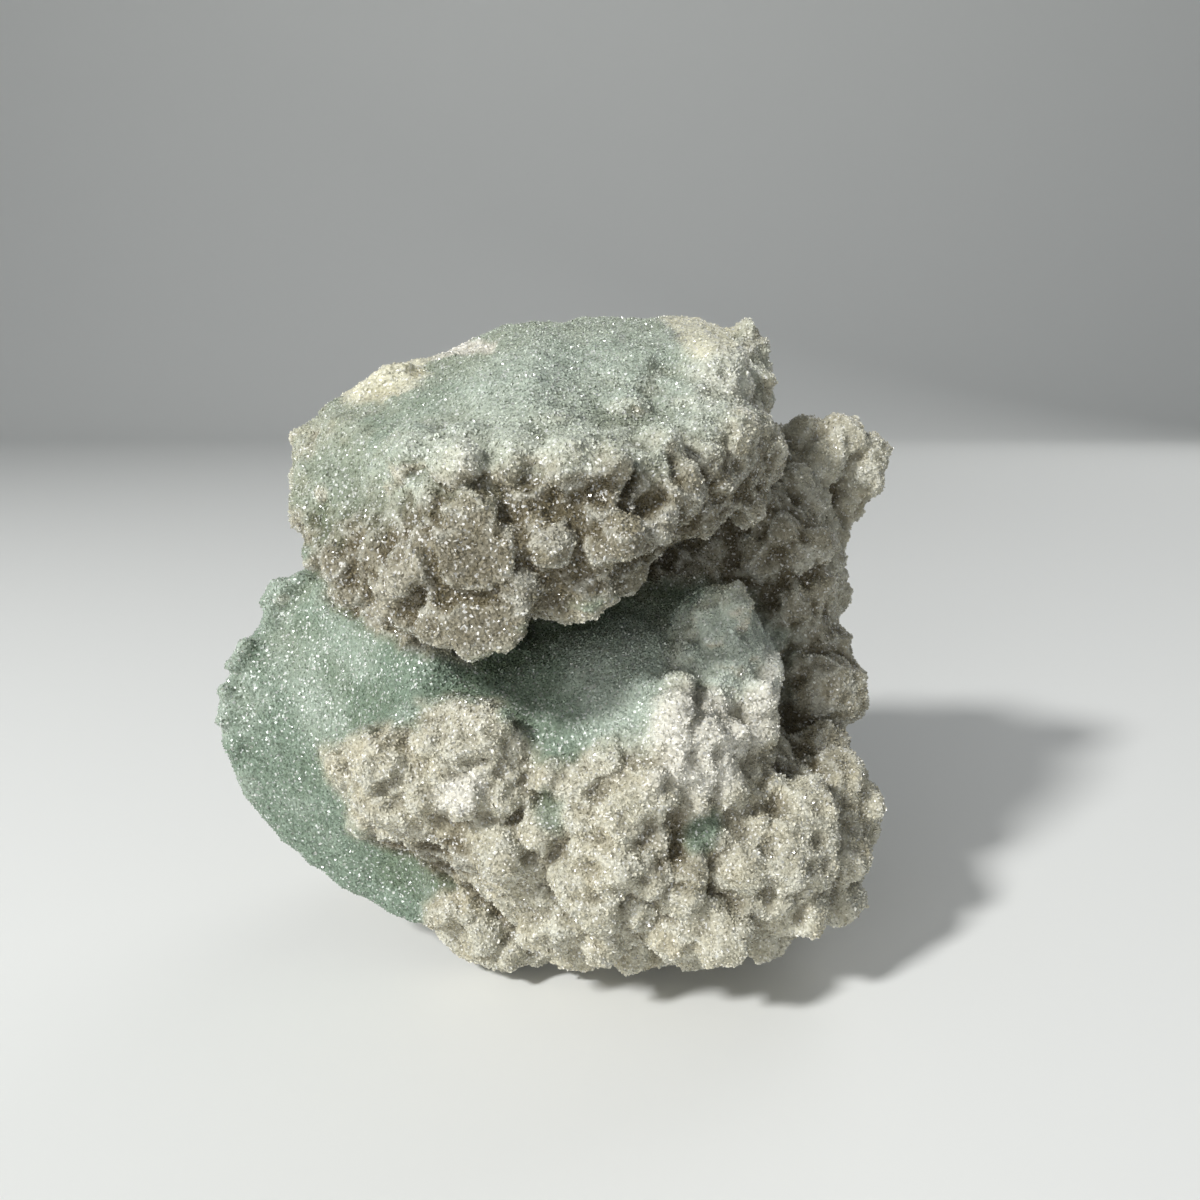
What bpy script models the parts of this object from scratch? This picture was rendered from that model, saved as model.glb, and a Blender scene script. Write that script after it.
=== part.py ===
# A hand-sized heulandite specimen: a crust of fine crystals grown over broken matrix.
# A thick shelf overhangs a green hollow, a thin dish flares out at the left, and a mass
# of rounded lumps makes the foot. It grew as one piece, so it is one solid.
#
# Lengths are in millimetres until the last step, which scales the mesh to metres.
# +Z is up, and the front, with the dish at its left, faces -Y.

import math

import bmesh
import bpy
import numpy as np
from mathutils import Euler, Matrix, Vector, noise
from mathutils.bvhtree import BVHTree

for old in list(bpy.data.objects):
    bpy.data.objects.remove(old, do_unlink=True)

# Driving dimensions
VOXEL = 1.5  # grid on which the lumps grow together
TRIANGLES = 9400  # of the finished solid, before the foot is cut flat
LUMP_PITCH = 8.5  # between the lumps of the crust
LUMP_HEIGHT = 1.9
SEAT = 0.35  # how far a lump's middle may stand clear of what it grows on, in its radius
DISH_WALL = 4.0
METRE = 0.001

# Lobes are (x, y, z, radius x, radius y, radius z, lean back in degrees).
MATRIX = [
    (4, 16, 33, 33, 24, 33, 0),  # heart of the specimen
    (-16, 18, 42, 22, 21, 26, 0),  # behind the dish
    (-18, -6, 38, 13, 18, 15, 0),
    (-14, -5, 24, 14, 15, 15, 0),
    (-6, 14, 68, 27, 18, 19, 0),  # under the shelf
    (24, 18, 30, 19, 22, 28, 0),
    (26, 20, 54, 15, 18, 20, 0),  # shaded wall at the right
    (14, 20, 72, 17, 17, 15, 0),
    (0, 28, 34, 34, 20, 28, 0),  # the back, which the breaks cut
    (-6, 27, 64, 25, 18, 20, 0),
    (20, 30, 56, 18, 14, 22, 0),
]
SHELF = [
    (-28, -8, 71, 12, 17, 11, 28),
    (-18, -11, 73, 13, 23, 12, 30),
    (-8, -11, 75, 14, 27, 12.5, 30),
    (3, -4, 77, 13, 25, 12.5, 30),
    (13, 2, 79, 12, 22, 12, 28),
    (20, 6, 80, 7.5, 15, 9, 20),
    (3, 10, 82, 14, 14, 10, 10),
    (21, 13, 84, 7, 11, 6.5, 0),  # its highest corner at the right
    (25, 13, 87, 4, 5, 4, 0),
    (-28, -15, 67, 10.5, 9, 9, 0),  # its nose, left to right
    (-16, -23, 66, 12, 10, 9.5, 0),
    (-5, -24, 67, 11, 10, 9.5, 0),
    (6, -16, 70, 11, 11, 9, 0),
    (16, -8, 74, 9, 11, 8, 0),
]
FRONT = [
    (5, -11, 31, 22, 21, 20, 0),  # bears the green hollow
    (19, -8, 42, 9, 11, 14, 0),  # bears the beige rim right of it
    (17, -10, 19, 24, 19, 14, 0),  # mass above the foot
    (32, -8, 21, 11, 12, 12, 0),
    (35, 4, 39, 7, 7, 7, 0),  # round lump at the right
    (2, -10, 14, 16, 14, 12, 0),
    (8, 12, 8, 30, 25, 13, 0),  # foot
]
KNOB = [
    (36, 25, 71, 9, 8, 6, 0),
    (43, 28, 70.5, 7, 7, 6, 0),
    (48, 31, 69.5, 4.2, 5, 4.6, 0),
    (45, 29, 63, 4.5, 5, 4, 0),
]
CLUSTER = [
    (-17, -19, 37, 11, 11, 9, 0),
    (-13, -18, 27, 9, 10, 9, 0),
]
HOLLOWS = [
    (4, -37, 53, 10, 14, 14, 0),  # green hollow under the shelf
    (-7, -18, 55, 15, 13, 3, 0),  # dark cleft behind it
    (-21, -28, 21, 5, 6, 4, 0),  # pit below the cluster
]

# Rows of rounded lumps: the points they follow, the lumps' radius, and how far
# apart they sit as a share of their diameter.
ROWS = [
    # the shelf's lip from its left end to the right one: its edge, and two rows above it
    (
        [(-34, -14, 65), (-27, -26, 61), (-18, -32, 58), (-9, -35, 58)]
        + [(2, -24, 59), (16, -13, 65), (24, -5, 71)],
        4.2,
        0.75,
    ),
    ([(-33, -14, 71), (-25, -27, 67), (-11, -36, 66), (2, -30, 67), (14, -20, 71), (23, -8, 77)], 4.6, 0.75),
    ([(-31, -17, 76), (-20, -27, 74), (-8, -32, 73), (6, -25, 75), (17, -12, 79)], 4.2, 0.8),
    # the beige rim right of the green hollow, curling down to the foot
    ([(18, -11, 53), (23, -13, 49), (24, -15, 42), (21, -20, 35), (15, -26, 30), (7, -30, 26)], 4.2, 0.7),
    # the foot's lowest edge, and the tiers above it
    ([(-6, -15, 5.5), (4, -18, 7.5), (14, -19, 8), (24, -17, 8.5), (33, -11, 10), (37, -5, 14)], 4.0, 0.75),
    ([(-6, -22, 14), (6, -26, 14), (18, -26, 15), (29, -20, 16), (38, -11, 19)], 4.6, 0.75),
    ([(0, -29, 22), (12, -29, 23), (24, -24, 24), (34, -15, 26), (38, -8, 27)], 4.6, 0.75),
    # small lumps at the dish's lowest point
    ([(-20, -19, 11), (-14, -19, 7), (-10, -15, 4)], 3.4, 0.8),
    # the cluster in the dish
    ([(-29, -23, 33), (-24, -27, 37), (-17, -29, 40), (-10, -29, 41)], 4.0, 0.7),
    ([(-26, -25, 30), (-19, -29, 32), (-12, -30, 32), (-9, -28, 24)], 4.2, 0.75),
    ([(-20, -24, 25), (-14, -26, 23), (-11, -23, 17)], 3.8, 0.8),
    # down the shaded right side
    ([(26, 2, 66), (30, 5, 59), (33, 5, 51), (35, 4, 31)], 4.8, 0.9),
    ([(42, 26, 58), (41, 22, 50), (40, 20, 42), (41, 16, 33)], 4.6, 0.8),
    # round the back, where the crust laps over the broken face
    ([(-34, 16, 52), (-30, 24, 64), (-20, 30, 76), (0, 30, 86), (18, 30, 84), (30, 33, 74)], 4.6, 0.75),
    ([(-38, 14, 30), (-32, 26, 16), (-14, 38, 7), (10, 41, 6), (30, 36, 9), (40, 24, 18)], 5.0, 0.75),
    ([(-36, 10, 42), (-36, 20, 24), (-26, 32, 9)], 4.4, 0.8),
    ([(38, 30, 48), (40, 32, 36), (36, 36, 22)], 4.4, 0.8),
]
# The dish's rim, from its top lobe round the left to where it meets the ground, and
# the line along which it springs from the mass.
DISH_RIM = [
    (-34, 5, 58), (-42, 1, 56), (-46, -1, 53), (-46.5, -2, 48.5), (-50, -5, 45), (-52, -7, 39),
    (-52, -8, 31), (-47, -8, 20), (-37, -10, 12), (-23, -15, 6), (-9, -16, 1.5),
]
DISH_ROOT = [(-19, -24, 52), (-19, -25, 42), (-19, -23, 30), (-14, -17, 14), (-6, -12, 5)]
DISH_SAG = 3.0
# Broken faces of the matrix at the back: a point and the way each looks.
BREAKS = [
    ((0, 43, 24), (0.08, 1.0, -0.08)),
    ((0, 41, 60), (-0.05, 1.0, 0.35)),
    ((-26, 30, 50), (-0.9, 1.0, 0.1)),
    ((-8, 30, 84), (-0.35, 0.6, 1.0)),
    ((34, 36, 40), (0.8, 1.0, 0.1)),
]
# Where the crust is fine and even instead of lumpy: centre and reach.
EVEN = [
    ((-12, -8, 86), 20), ((6, 4, 91), 18), ((-42, -8, 36), 22),
    ((-30, -18, 50), 13), ((-36, -14, 16), 14), ((4, -22, 47), 12),
]


def along(points, steps):
    """A smooth line through the points, as that many places with even parameters."""
    points = [Vector(point) for point in points]
    points = [2 * points[0] - points[1], *points, 2 * points[-1] - points[-2]]
    spans = len(points) - 3
    places = []
    for step in range(steps):
        at = min(step / (steps - 1) * spans, spans - 1e-6)
        a, b, c, d = points[int(at) : int(at) + 4]
        t = at - int(at)
        square = 2 * a - 5 * b + 4 * c - d
        cube = 3 * b - 3 * c + d - a
        places.append(0.5 * (2 * b + (c - a) * t + square * t**2 + cube * t**3))
    return places


def add_lobe(bm, x, y, z, radius_x, radius_y, radius_z, lean=0):
    detail = 4 if max(radius_x, radius_y, radius_z) > 8 else 3
    turn = Euler((math.radians(lean), 0, 0)).to_matrix().to_4x4()
    size = Matrix.Diagonal((radius_x, radius_y, radius_z, 1))
    place = Matrix.Translation((x, y, z)) @ turn @ size
    bmesh.ops.create_icosphere(bm, subdivisions=detail, radius=1, matrix=place)


def add_row(bm, ground, points, radius, spacing, seed):
    """Lumps of uneven size set along a line, each a little off it and seated in the ground."""
    random = np.random.default_rng(seed)
    length = sum((Vector(b) - Vector(a)).length for a, b in zip(points, points[1:]))
    count = max(3, round(length / (2 * radius * spacing)))
    for place in along(points, count):
        place += Vector(random.normal(0, 0.22 * radius, 3))
        size = radius * random.uniform(0.75, 1.2, 3)
        foot, outward, _, _ = ground.find_nearest(place)
        clear = (place - foot).dot(outward)
        place -= outward * max(0, clear - SEAT * radius)
        add_lobe(bm, *place, *size)


def new_object(name, bm):
    mesh = bpy.data.meshes.new(name)
    bm.to_mesh(mesh)
    bm.free()
    obj = bpy.data.objects.new(name, mesh)
    bpy.context.scene.collection.objects.link(obj)
    return obj


def made_plain(obj):
    """Turns the object's modifiers into its mesh."""
    bpy.context.view_layer.update()
    mesh = bpy.data.meshes.new_from_object(obj.evaluated_get(bpy.context.evaluated_depsgraph_get()))
    obj.modifiers.clear()
    obj.data = mesh
    return obj


def dish():
    """The thin green dish: a sheet from root to rim that sags away from the front."""
    columns, rows = 40, 16
    bm = bmesh.new()
    rim, root = along(DISH_RIM, columns), along(DISH_ROOT, columns)
    grid = []
    for outer, inner in zip(rim, root):
        line = []
        for row in range(rows):
            t = row / (rows - 1)
            sag = Vector((0, DISH_SAG * math.sin(math.pi * t), 0))
            line.append(bm.verts.new(outer.lerp(inner, t) + sag))
        grid.append(line)
    for left, right in zip(grid, grid[1:]):
        for row in range(rows - 1):
            bm.faces.new((left[row], left[row + 1], right[row + 1], right[row]))
    bmesh.ops.recalc_face_normals(bm, faces=bm.faces)
    obj = new_object("dish", bm)
    wall = obj.modifiers.new("wall", "SOLIDIFY")
    wall.thickness, wall.offset = DISH_WALL, 0
    return made_plain(obj)


def grown_together():
    """All lobes, rows and the dish on one voxel grid, with the hollows taken out."""
    bm = bmesh.new()
    for lobe in MATRIX + SHELF + FRONT + CLUSTER:
        add_lobe(bm, *lobe)
    sheet = dish()
    bm.from_mesh(sheet.data)
    bpy.data.objects.remove(sheet)
    mass = new_object("mass", bm)
    grid = mass.modifiers.new("grow", "REMESH")
    grid.mode, grid.voxel_size = "VOXEL", VOXEL
    made_plain(mass)

    bm = bmesh.new()
    for hollow in HOLLOWS:
        add_lobe(bm, *hollow)
    cutter = new_object("hollows", bm)
    grid = cutter.modifiers.new("grow", "REMESH")
    grid.mode, grid.voxel_size = "VOXEL", VOXEL
    made_plain(cutter)
    cut = mass.modifiers.new("hollows", "BOOLEAN")
    cut.operation, cut.object = "DIFFERENCE", cutter
    made_plain(mass)
    bpy.data.objects.remove(cutter)

    bm = bmesh.new()
    bm.from_mesh(mass.data)
    for point, normal in BREAKS:
        whole = bm.verts[:] + bm.edges[:] + bm.faces[:]
        bmesh.ops.bisect_plane(bm, geom=whole, plane_co=point, plane_no=normal, clear_outer=True)
        bmesh.ops.holes_fill(bm, edges=[edge for edge in bm.edges if edge.is_boundary])
    for lobe in KNOB:
        add_lobe(bm, *lobe)
    ground = BVHTree.FromBMesh(bm)
    for seed, (points, radius, spacing) in enumerate(ROWS):
        add_row(bm, ground, points, radius, spacing, seed)
    bpy.data.objects.remove(mass)
    mass = new_object("mass", bm)
    grid = mass.modifiers.new("grow", "REMESH")
    grid.mode, grid.voxel_size = "VOXEL", VOXEL
    return made_plain(mass)


def evenness(place):
    """1 where the crust is fine and even, 0 where it is lumpy."""
    nearest = min((place - Vector(centre)).length / reach for centre, reach in EVEN)
    return min(max((1.1 - nearest) / 0.3, 0), 1)


def crusted(obj):
    """Raises domes over the crust, and waves where it is even."""
    outward = [Vector(vertex.normal) for vertex in obj.data.vertices]
    for vertex, normal in zip(obj.data.vertices, outward):
        near = noise.voronoi(vertex.co / LUMP_PITCH)[0][0]
        dome = max(0.0, 1 - (near / 0.62) ** 2) - 0.4
        wave = noise.noise(vertex.co / 14)
        even = evenness(vertex.co)
        vertex.co += normal * (LUMP_HEIGHT * dome * (1 - even) + 0.8 * wave * even)
    return obj


def finished(obj):
    """Thins the mesh, cuts the foot flat and puts the origin under the middle."""
    thin = obj.modifiers.new("thin", "DECIMATE")
    triangles = sum(len(face.vertices) - 2 for face in obj.data.polygons)
    thin.ratio = TRIANGLES / triangles
    made_plain(obj)
    bm = bmesh.new()
    bm.from_mesh(obj.data)
    whole = bm.verts[:] + bm.edges[:] + bm.faces[:]
    bmesh.ops.bisect_plane(bm, geom=whole, plane_co=(0, 0, 0), plane_no=(0, 0, -1), clear_outer=True)
    bmesh.ops.holes_fill(bm, edges=[edge for edge in bm.edges if edge.is_boundary])
    bmesh.ops.triangulate(bm, faces=[face for face in bm.faces if len(face.verts) > 3])
    corners = np.array([vertex.co for vertex in bm.verts])
    low, high = corners.min(0), corners.max(0)
    print("box in mm", low.round(2), high.round(2), "triangles", len(bm.faces))
    middle = Vector(((low[0] + high[0]) / 2, (low[1] + high[1]) / 2, low[2]))
    bmesh.ops.translate(bm, verts=bm.verts, vec=-middle)
    bmesh.ops.scale(bm, verts=bm.verts, vec=(METRE, METRE, METRE))
    bm.to_mesh(obj.data)
    bm.free()
    return obj


def druse_material():
    material = bpy.data.materials.new("sage green and beige heulandite druse")
    material.use_nodes = True
    surface = material.node_tree.nodes["Principled BSDF"]
    surface.inputs["Base Color"].default_value = (0.50, 0.54, 0.48, 1)
    surface.inputs["Roughness"].default_value = 0.45
    surface.inputs["Metallic"].default_value = 0
    return material


specimen = finished(crusted(grown_together()))
specimen.name = specimen.data.name = "heulandite_specimen"
specimen.data.materials.clear()
specimen.data.materials.append(druse_material())

home = bpy.data.collections.new("heulandite")
bpy.context.scene.collection.children.link(home)
bpy.context.scene.collection.objects.unlink(specimen)
home.objects.link(specimen)
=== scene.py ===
import math

import bmesh
import bpy
import numpy as np
from mathutils import Euler, Matrix, Vector, noise
from mathutils.bvhtree import BVHTree


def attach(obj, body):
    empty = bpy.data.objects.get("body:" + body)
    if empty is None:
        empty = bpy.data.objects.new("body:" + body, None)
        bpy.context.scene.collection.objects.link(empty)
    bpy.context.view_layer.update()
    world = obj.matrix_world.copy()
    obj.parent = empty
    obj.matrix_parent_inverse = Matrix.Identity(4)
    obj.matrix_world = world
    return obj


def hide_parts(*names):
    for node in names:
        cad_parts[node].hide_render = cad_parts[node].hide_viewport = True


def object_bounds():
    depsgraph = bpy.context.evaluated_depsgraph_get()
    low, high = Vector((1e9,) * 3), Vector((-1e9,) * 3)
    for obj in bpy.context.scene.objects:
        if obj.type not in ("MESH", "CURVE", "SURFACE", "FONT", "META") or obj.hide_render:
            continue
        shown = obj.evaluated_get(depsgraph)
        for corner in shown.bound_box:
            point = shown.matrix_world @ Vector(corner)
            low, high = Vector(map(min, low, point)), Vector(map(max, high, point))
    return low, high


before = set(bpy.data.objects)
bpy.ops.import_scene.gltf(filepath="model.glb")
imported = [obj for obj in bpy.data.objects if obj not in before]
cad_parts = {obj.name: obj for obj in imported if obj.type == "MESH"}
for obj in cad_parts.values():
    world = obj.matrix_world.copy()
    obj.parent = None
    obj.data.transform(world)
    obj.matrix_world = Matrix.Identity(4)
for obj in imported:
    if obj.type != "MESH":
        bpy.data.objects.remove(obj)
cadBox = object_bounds()
mm = 0.001

# The camera. Pixel places below are in its square picture, 1200 pixels a side.
view = {
    "place": (0.0027, -0.1705, 0.085),
    "pitchDown": 11.2,  # degrees
    "lens": 34.65,
    "sensor": 36.0,
    "side": 1200,
}
focal = view["lens"] / view["sensor"] * view["side"]  # in pixels
pitch = math.radians(view["pitchDown"])
eye = Vector(view["place"])
rightward = Vector((1, 0, 0))
upward = Vector((0, math.sin(pitch), math.cos(pitch)))
forward = Vector((0, math.cos(pitch), -math.sin(pitch)))


def pixelRay(x, y):
    across, down = (x - view["side"] / 2) / focal, (y - view["side"] / 2) / focal
    return (forward + rightward * across - upward * down).normalized()


# x, y and depth of an array of points in the camera's picture
def toPixels(points):
    away = points - np.array(eye)
    depth = away @ np.array(forward)
    x = view["side"] / 2 + focal * (away @ np.array(rightward)) / depth
    y = view["side"] / 2 - focal * (away @ np.array(upward)) / depth
    return x, y, depth


def addNode(tree, kind, sockets=None, **settings):
    node = tree.nodes.new(kind)
    for name, value in settings.items():
        setattr(node, name, value)
    for socket, value in (sockets or {}).items():
        if isinstance(value, bpy.types.NodeSocket):
            tree.links.new(value, node.inputs[socket])
        else:
            node.inputs[socket].default_value = value
    return node


# An sRGB hex colour as linear RGBA
def linear(hexColour):
    parts = [int(hexColour[i : i + 2], 16) / 255 for i in (1, 3, 5)]
    return [c / 12.92 if c <= 0.04045 else ((c + 0.055) / 1.055) ** 2.4 for c in parts] + [1]


def newObject(name, mesh):
    obj = bpy.data.objects.new(name, mesh)
    bpy.context.scene.collection.objects.link(obj)
    return obj


def meshFrom(bm, name):
    mesh = bpy.data.meshes.new(name)
    bm.to_mesh(mesh)
    bm.free()
    return mesh


# Turns the object's modifiers into its mesh
def baked(obj):
    bpy.context.view_layer.update()
    mesh = bpy.data.meshes.new_from_object(obj.evaluated_get(bpy.context.evaluated_depsgraph_get()))
    obj.modifiers.clear()
    old, obj.data = obj.data, mesh
    mesh.name = obj.name
    bpy.data.meshes.remove(old)
    return obj


def remeshed(obj, voxel):
    grid = obj.modifiers.new("grid", "REMESH")
    grid.mode, grid.voxel_size = "VOXEL", voxel
    return baked(obj)


def thinned(obj, triangles):
    now = sum(len(face.vertices) - 2 for face in obj.data.polygons)
    fewer = obj.modifiers.new("fewer", "DECIMATE")
    fewer.ratio, fewer.use_collapse_triangulate = min(1.0, triangles / now), True
    return baked(obj)


def readVectors(mesh, what="co"):
    values = np.zeros(len(mesh.vertices) * 3, np.float32)
    if what == "co":
        mesh.vertices.foreach_get("co", values)
    else:
        mesh.vertex_normals.foreach_get("vector", values)
    return values.reshape(-1, 3).astype(float)


def writeVectors(mesh, values):
    mesh.vertices.foreach_set("co", values.astype(np.float32).ravel())
    mesh.update()


def readFloat(mesh, name):
    values = np.zeros(len(mesh.attributes[name].data), np.float32)
    mesh.attributes[name].data.foreach_get("value", values)
    return values.astype(float)


def writeFloat(mesh, name, values, domain="POINT"):
    if name in mesh.attributes:
        mesh.attributes.remove(mesh.attributes[name])
    layer = mesh.attributes.new(name, "FLOAT", domain)
    layer.data.foreach_set("value", values.astype(np.float32))


# Each vertex's values averaged with its neighbours', over and over; hold keeps a share of its own
def smoothed(mesh, values, steps, hold=None):
    edges = np.zeros(len(mesh.edges) * 2, np.int32)
    mesh.edges.foreach_get("vertices", edges)
    a, b = edges.reshape(-1, 2).T
    count = np.bincount(a, minlength=len(values)) + np.bincount(b, minlength=len(values))
    count = np.maximum(count, 1)
    for _ in range(steps):
        total = np.stack(
            [
                np.bincount(a, column[b], len(values)) + np.bincount(b, column[a], len(values))
                for column in values.T
            ],
            axis=1,
        )
        average = total / count[:, None]
        values = average if hold is None else values * hold[:, None] + average * (1 - hold[:, None])
    return values


# Smooth noise, about -1 to 1, with features of that size in metres
def noiseAt(points, size, seed=0):
    shift = Vector((seed * 17.3, seed * 5.1, seed * 9.7))
    return np.array([noise.noise(Vector(point) / size + shift) for point in points])


# Distance to the nearest cell point, in cells of that size
def cellsAt(points, size, seed=0):
    shift = Vector((seed * 17.3, seed * 5.1, seed * 9.7))
    return np.array([noise.voronoi(Vector(point) / size + shift)[0][0] for point in points])


def ramp(values, low, high):
    t = np.clip((values - low) / (high - low), 0, 1)
    return t * t * (3 - 2 * t)


# How many pixels each place lies inside an outline; negative is outside
def insideBy(outline, x, y):
    corners = np.array(outline, float)
    nearest = np.full(len(x), 1e9)
    inside = np.zeros(len(x), bool)
    for (ax, ay), (bx, by) in zip(corners, np.roll(corners, -1, axis=0)):
        t = np.clip(((x - ax) * (bx - ax) + (y - ay) * (by - ay)) / ((bx - ax) ** 2 + (by - ay) ** 2), 0, 1)
        nearest = np.minimum(nearest, np.hypot(x - ax - t * (bx - ax), y - ay - t * (by - ay)))
        crosses = (ay > y) != (by > y)
        inside ^= crosses & (x < ax + (y - ay) * (bx - ax) / (by - ay + 1e-12))
    return np.where(inside, nearest, -nearest)


# Patches of the crust by their outlines in the picture, some of them painted shade or painted light,
# and the depths between which each one lies, in millimetres along Y.
patches = {
    "green": [
        {  # the shelf's top
            "outline": [(352, 450), (346, 430), (385, 395), (415, 385), (440, 366), (520, 354), (548, 330),
                        (600, 322), (672, 335), (690, 362), (650, 378), (600, 388), (560, 398), (500, 402),
                        (450, 418), (410, 440), (380, 462)],
            "depths": (-45, 45), "edge": 24, "strength": 0.85,
        },
        {  # its left shoulder, only faintly green
            "outline": [(286, 505), (290, 450), (330, 415), (400, 390), (420, 450), (380, 500), (330, 530)],
            "depths": (-45, 45), "edge": 34, "strength": 0.7,
        },
        {  # the dish
            "outline": [(180, 560), (300, 540), (330, 600), (370, 630), (420, 655), (500, 670), (520, 690),
                        (505, 705), (450, 698), (420, 702), (415, 728), (385, 722), (350, 738), (322, 750),
                        (325, 775), (345, 800), (350, 830), (390, 850), (430, 870), (450, 885), (425, 905),
                        (420, 925), (330, 960), (150, 900), (150, 640)],
            "depths": (-60, 20), "edge": 9, "strength": 1.0,
        },
        {  # the hollow under the shelf
            "outline": [(470, 660), (540, 620), (620, 596), (700, 580), (720, 592), (690, 612), (668, 640),
                        (664, 700), (652, 735), (600, 742), (575, 762), (540, 760), (520, 735), (500, 712)],
            "depths": (-60, 10), "edge": 12, "strength": 0.95,
        },
        {  # green in the pit of the foot
            "outline": [(683, 842), (690, 818), (715, 810), (728, 822), (712, 842), (695, 856)],
            "depths": (-60, 0), "edge": 8, "strength": 0.9,
        },
        {"outline": [(530, 805), (545, 790), (565, 800), (560, 830), (540, 828)],
         "depths": (-60, 0), "edge": 8, "strength": 0.7},
    ],
    "cream": [
        {"outline": [(345, 402), (347, 365), (380, 348), (425, 342), (424, 372), (410, 392), (385, 402)],
         "depths": (-20, 60), "edge": 9, "strength": 1.0},
        {"outline": [(655, 312), (700, 318), (735, 318), (736, 345), (705, 362), (684, 350), (676, 330)],
         "depths": (-20, 60), "edge": 6, "strength": 0.9},
    ],
    "frost": [  # pale frosting and painted light, over the shelf's top and front edge, and lifting the shaded rim and hollow
        {"outline": [(385, 480), (392, 430), (430, 392), (540, 330), (740, 330), (765, 380), (720, 440),
                     (620, 455), (530, 465), (450, 485), (370, 510)],
         "depths": (-60, 60), "edge": 38, "strength": 0.6},
        {"outline": [(690, 605), (735, 588), (785, 635), (785, 690), (740, 705), (700, 690), (680, 650)],
         "depths": (-60, 10), "edge": 16, "strength": 0.9},
        {"outline": [(560, 650), (640, 618), (700, 598), (702, 650), (668, 700), (655, 740), (600, 745), (575, 700)],
         "depths": (-60, 10), "edge": 22, "strength": 0.65},
    ],
    "dishFrost": [
        {"outline": [(255, 600), (262, 575), (300, 562), (330, 590), (300, 620), (330, 680), (345, 740), (310, 745),
                     (285, 690), (262, 650)],
         "depths": (-60, 20), "edge": 16, "strength": 0.4},
        {"outline": [(216, 735), (212, 690), (226, 650), (240, 634), (256, 640), (238, 668), (230, 700), (228, 740)],
         "depths": (-60, 20), "edge": 7, "strength": 0.5},
    ],
    # painted shade: patches darkened as if in shadow, on the lip, the side below the knob and the foot's pits
    "paintedShade": [
        {  # the lip's lower half, darkened as painted shade
            "outline": [(290, 570), (300, 510), (360, 500), (440, 490), (540, 475), (620, 455), (700, 462), (780, 455),
                        (775, 500), (700, 560), (640, 600), (600, 622), (520, 645), (490, 665), (400, 650),
                        (330, 610)],
            "depths": (-60, 10), "edge": 26, "strength": 0.95,
        },
        {  # the side below the knob, darkened as painted shade
            "outline": [(770, 480), (850, 520), (836, 600), (870, 700), (850, 770), (800, 770), (785, 720),
                        (790, 640), (740, 590), (720, 560), (770, 520)],
            "depths": (-60, 8), "edge": 14, "strength": 0.7,
        },
        {"outline": [(380, 840), (460, 835), (480, 870), (440, 890), (390, 885)],
         "depths": (-60, 0), "edge": 10, "strength": 0.9},
        {"outline": [(640, 830), (700, 820), (720, 850), (700, 890), (650, 880)],
         "depths": (-60, 0), "edge": 16, "strength": 0.6},
    ],
    "pearl": [
        {"outline": [(655, 700), (690, 690), (740, 700), (770, 655), (785, 672), (775, 715), (745, 760), (730, 790),
                     (690, 795), (655, 780)],
         "depths": (-60, 10), "edge": 14, "strength": 0.85},
        {"outline": [(430, 795), (450, 775), (478, 768), (486, 790), (470, 812), (440, 815)],
         "depths": (-60, 0), "edge": 6, "strength": 0.9},
        {"outline": [(445, 448), (470, 440), (485, 465), (470, 475), (450, 468)],
         "depths": (-60, 20), "edge": 12, "strength": 0.35},
        {"outline": [(366, 606), (376, 588), (408, 555), (427, 560), (402, 598), (384, 614)],  # a smooth, long crystal
         "depths": (-60, 0), "edge": 6, "strength": 0.55},
        {"outline": [(425, 346), (496, 342), (494, 352), (430, 358)],
         "depths": (-60, 60), "edge": 3, "strength": 1.0},
        {"outline": [(690, 370), (740, 350), (762, 375), (740, 400), (700, 400)],
         "depths": (-60, 60), "edge": 20, "strength": 0.35},
    ],
}


def patchAt(kind, points, seed):
    x, y, _ = toPixels(points)
    wobble = noiseAt(points, 4 * mm, seed) * 0.7 + noiseAt(points, 1.5 * mm, seed + 1) * 0.5
    most = np.zeros(len(points))
    for patch in patches[kind]:
        near, far = patch["depths"]
        fits = (points[:, 1] > near * mm) * ramp(far * mm - points[:, 1] + wobble * 2 * mm, 0, 6 * mm)
        edge = patch["edge"]
        inner = insideBy(patch["outline"], x, y) + wobble * edge
        most = np.maximum(most, ramp(inner, -edge, edge) * fits * patch["strength"])
    return most


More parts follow.
